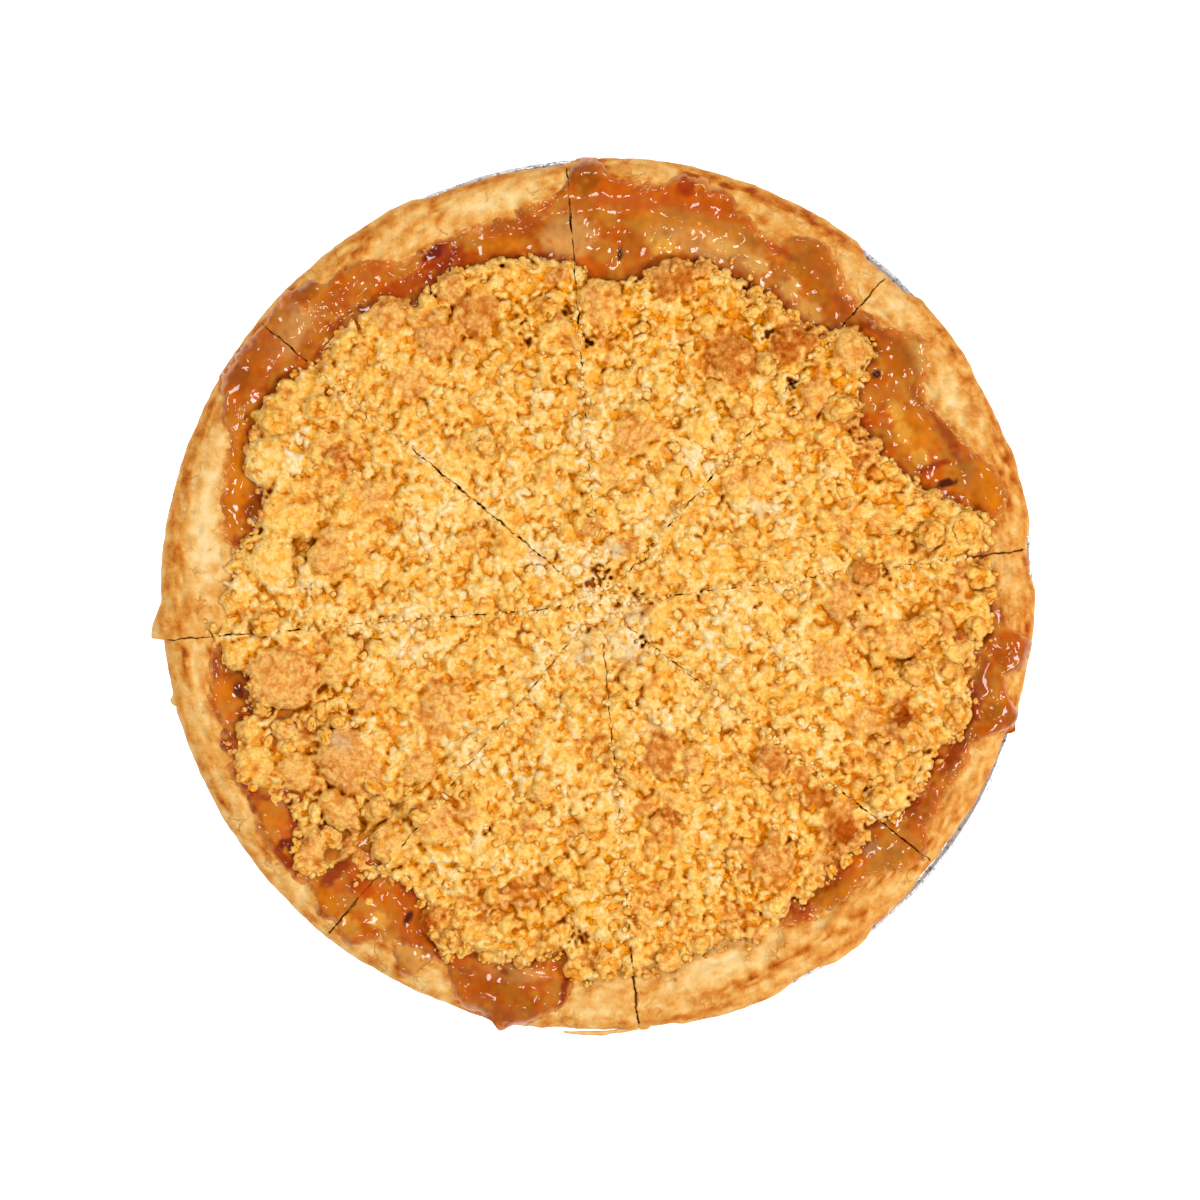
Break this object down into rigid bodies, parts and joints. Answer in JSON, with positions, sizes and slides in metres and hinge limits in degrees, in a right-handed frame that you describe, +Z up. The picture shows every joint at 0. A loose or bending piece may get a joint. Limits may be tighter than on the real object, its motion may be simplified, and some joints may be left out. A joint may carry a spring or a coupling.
{
  "type": "crumb-topped apple pie",
  "caption": "Round crumb-topped apple pie, already cut into slices that still stand together in their foil tin.",
  "frame": {"origin": "centre of the tin's flat floor, on the surface that the pie stands on", "axes": "+Z up through the pie; seen from above +X is to the right and +Y away from the viewer"},
  "size_m": [0.246, 0.246, 0.046],
  "materials": {
    "foil": "satin",
    "pastry": "matt",
    "filling": "gloss",
    "crumbs": "matt"
  },
  "bodies": {
    "root": {"tin": "foil", "crust_1": "pastry", "filling_1": "filling", "topping_1": "crumbs", "crust_2": "pastry", "filling_2": "filling", "topping_2": "crumbs", "crust_3": "pastry", "filling_3": "filling", "topping_3": "crumbs", "crust_4": "pastry", "filling_4": "filling", "topping_4": "crumbs", "crust_5": "pastry", "filling_5": "filling", "topping_5": "crumbs", "crust_6": "pastry", "filling_6": "filling", "topping_6": "crumbs", "crust_7": "pastry", "filling_7": "filling", "topping_7": "crumbs", "crust_8": "pastry", "filling_8": "filling", "topping_8": "crumbs"}
  },
  "joints": []
}
